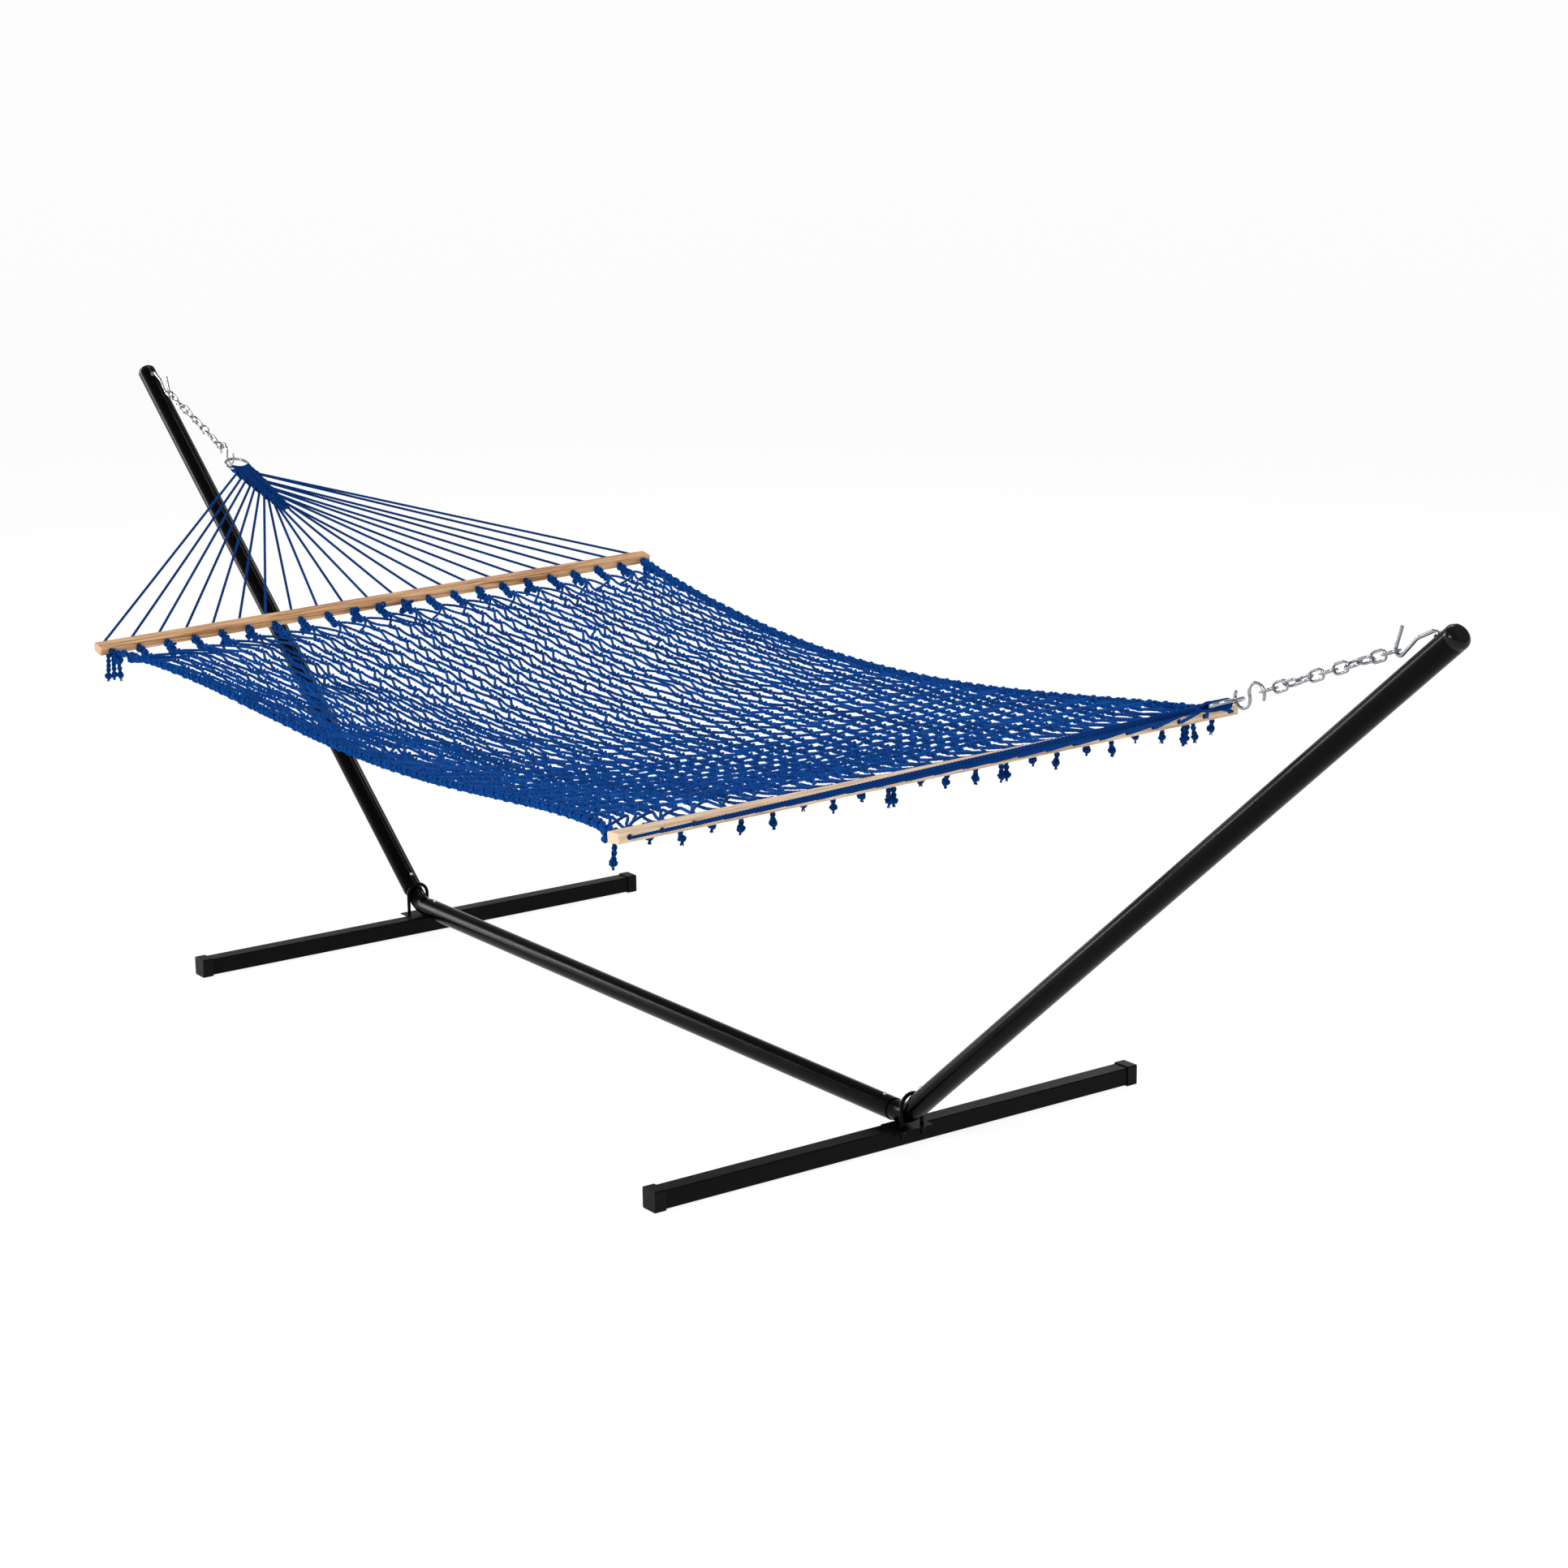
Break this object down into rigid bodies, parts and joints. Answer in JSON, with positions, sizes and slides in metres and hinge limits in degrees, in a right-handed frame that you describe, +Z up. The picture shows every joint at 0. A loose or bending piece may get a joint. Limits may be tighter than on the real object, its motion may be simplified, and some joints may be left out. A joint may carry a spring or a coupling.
{
  "type": "hammock on stand",
  "caption": "Blue rope net hammock with wooden spreader bars, hung by chains from a black three-tube steel stand on two cross feet.",
  "frame": {"origin": "on the floor in the middle of the stand, halfway between the feet", "axes": "+X along the stand, towards one upright; +Y along the cross feet; +Z up"},
  "size_m": [4.6848, 1.49, 1.2497],
  "materials": {
    "black_powder_coat": "gloss powder coat",
    "foot_cap_plastic": "satin moulded",
    "dome_cap_plastic": "gloss moulded",
    "bright_zinc": "bright zinc plate",
    "spring_steel": "blued spring steel",
    "oak": "clear satin varnish",
    "blue_rope": "three-strand soft-spun polyester rope"
  },
  "bodies": {
    "stand": {"beam_tube": "black_powder_coat", "foot_tube_left": "black_powder_coat", "foot_tube_right": "black_powder_coat", "foot_cap_front_left": "foot_cap_plastic", "foot_cap_front_right": "foot_cap_plastic", "foot_cap_back_left": "foot_cap_plastic", "foot_cap_back_right": "foot_cap_plastic", "saddle_plate_left": "black_powder_coat", "saddle_plate_right": "black_powder_coat", "u_bolt_left": "black_powder_coat", "u_bolt_right": "black_powder_coat", "u_bolt_nuts_left": "black_powder_coat", "u_bolt_nuts_right": "black_powder_coat", "elbow_left": "black_powder_coat", "elbow_right": "black_powder_coat", "upright_left": "black_powder_coat", "upright_right": "black_powder_coat", "upright_cap_left": "dome_cap_plastic", "upright_cap_right": "dome_cap_plastic", "snap_spring_beam_left": "spring_steel", "snap_spring_beam_right": "spring_steel", "snap_spring_upright_left": "spring_steel", "snap_spring_upright_right": "spring_steel", "hook_left": "bright_zinc", "hook_right": "bright_zinc", "hook_fixings_left": "bright_zinc", "hook_fixings_right": "bright_zinc"},
    "hammock": {"chain_left": "bright_zinc", "chain_right": "bright_zinc", "s_hook_left": "bright_zinc", "s_hook_right": "bright_zinc", "ring_left": "bright_zinc", "ring_right": "bright_zinc", "clew_left": "blue_rope", "clew_right": "blue_rope", "clew_cords_left": "blue_rope", "clew_cords_right": "blue_rope", "spreader_bar_left": "oak", "spreader_bar_right": "oak", "bar_knots_left": "blue_rope", "bar_knots_right": "blue_rope", "rope_tails_left": "blue_rope", "rope_tails_right": "blue_rope", "net_bed": "blue_rope", "edge_rope_front": "blue_rope", "edge_rope_back": "blue_rope"},
    "snap_button_beam_left_body": {"snap_button_beam_left": "bright_zinc"},
    "snap_button_upright_left_body": {"snap_button_upright_left": "bright_zinc"},
    "snap_button_beam_right_body": {"snap_button_beam_right": "bright_zinc"},
    "snap_button_upright_right_body": {"snap_button_upright_right": "bright_zinc"}
  },
  "joints": [
    {"name": "hammock_swing", "type": "hinge", "parent": "stand", "child": "hammock", "pos_m": [0, 0, 1.18988], "axis": [1, 0, 0], "range_deg": [-18, 18]},
    {"name": "snap_button_beam_left_press", "type": "slide", "parent": "stand", "child": "snap_button_beam_left_body", "axis": [0, 0, -1], "range_m": [0, 0.0055], "stiffness_N_per_m": 500, "springref_m": -0.004, "deforming": ["snap_spring_beam_left"]},
    {"name": "snap_button_upright_left_press", "type": "slide", "parent": "stand", "child": "snap_button_upright_left_body", "axis": [-0.6476, 0, -0.762], "range_m": [0, 0.0055], "stiffness_N_per_m": 500, "springref_m": -0.004, "deforming": ["snap_spring_upright_left"]},
    {"name": "snap_button_beam_right_press", "type": "slide", "parent": "stand", "child": "snap_button_beam_right_body", "axis": [0, 0, -1], "range_m": [0, 0.0055], "stiffness_N_per_m": 500, "springref_m": -0.004, "deforming": ["snap_spring_beam_right"]},
    {"name": "snap_button_upright_right_press", "type": "slide", "parent": "stand", "child": "snap_button_upright_right_body", "axis": [0.6476, 0, -0.762], "range_m": [0, 0.0055], "stiffness_N_per_m": 500, "springref_m": -0.004, "deforming": ["snap_spring_upright_right"]}
  ]
}
